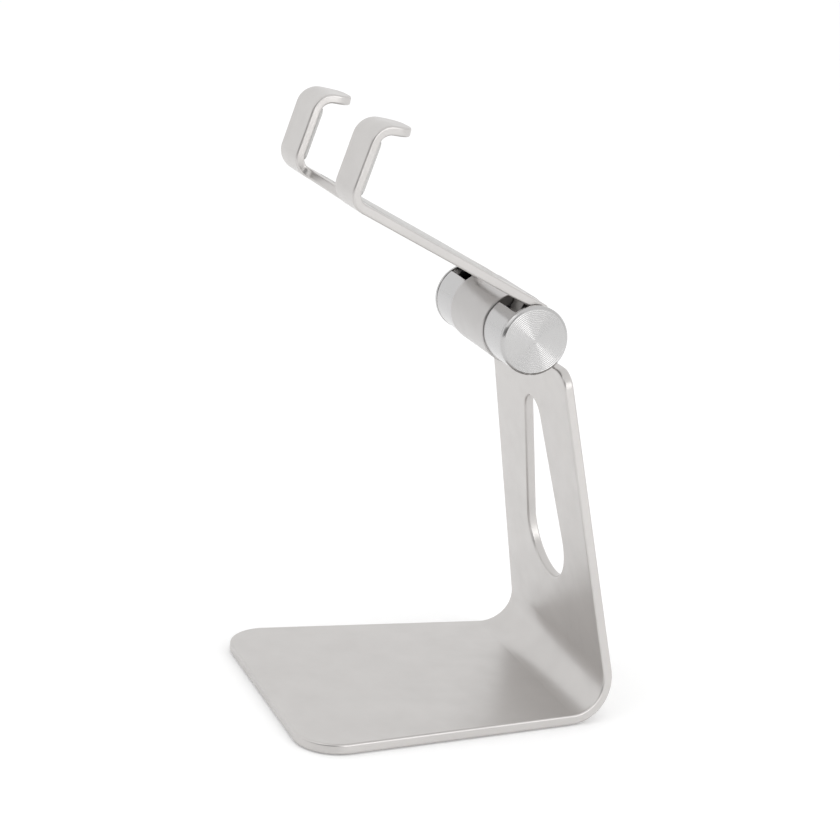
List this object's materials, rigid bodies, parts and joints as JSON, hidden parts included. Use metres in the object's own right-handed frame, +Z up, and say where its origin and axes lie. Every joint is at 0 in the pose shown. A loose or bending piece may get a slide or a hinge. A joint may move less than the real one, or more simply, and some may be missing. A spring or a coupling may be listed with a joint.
{
  "type": "phone stand",
  "caption": "Tilting metal phone stand: bent plate base and upright, friction hinge with chrome sleeves, and a plate cradle with two hooks for the phone's lower edge.",
  "frame": {"origin": "on the surface the stand rests on, midway along the flat part of the base, in its plane of symmetry", "axes": "+Z up, -Y to the front, where the cradle's hooks point, +X along the hinge axis"},
  "size_m": [0.0778, 0.0836, 0.1519],
  "materials": {
    "stand_aluminium": "bead-blasted, clear anodised",
    "cradle_aluminium": "bead-blasted, clear anodised",
    "knuckle_aluminium": "bead-blasted with a bright turned edge",
    "cap_aluminium": "turned face with a diamond-cut rim",
    "sleeve_chrome": "polished",
    "silicone_grey": "matte",
    "block_dark": "black, satin",
    "screw_steel": "zinc plated",
    "shaft_steel": "ground",
    "spring_steel": "blued",
    "bush_brass": "turned",
    "washer_polymer": "dark friction polymer"
  },
  "bodies": {
    "stand": {"base_stand": "stand_aluminium", "base_pad": "silicone_grey", "center_knuckle": "knuckle_aluminium", "knuckle_screws": "screw_steel", "bush_left": "bush_brass", "bush_right": "bush_brass", "friction_washer_left": "washer_polymer", "friction_washer_right": "washer_polymer"},
    "cradle": {"cradle_bracket": "cradle_aluminium", "phone_pad": "silicone_grey", "hook_pad_left": "silicone_grey", "hook_pad_right": "silicone_grey", "sleeve_left": "sleeve_chrome", "sleeve_right": "sleeve_chrome", "arm_block_left": "block_dark", "arm_block_right": "block_dark", "arm_screws": "screw_steel", "hinge_shaft": "shaft_steel", "head_washer": "shaft_steel", "thrust_washer": "shaft_steel", "disc_springs": "spring_steel", "lock_nut": "shaft_steel", "end_cap_left": "cap_aluminium", "end_cap_right": "cap_aluminium"}
  },
  "joints": [
    {"name": "cradle_tilt", "type": "hinge", "parent": "stand", "child": "cradle", "pos_m": [0, 0.02135, 0.09866], "axis": [1, 0, 0], "range_deg": [-142, 138]}
  ]
}
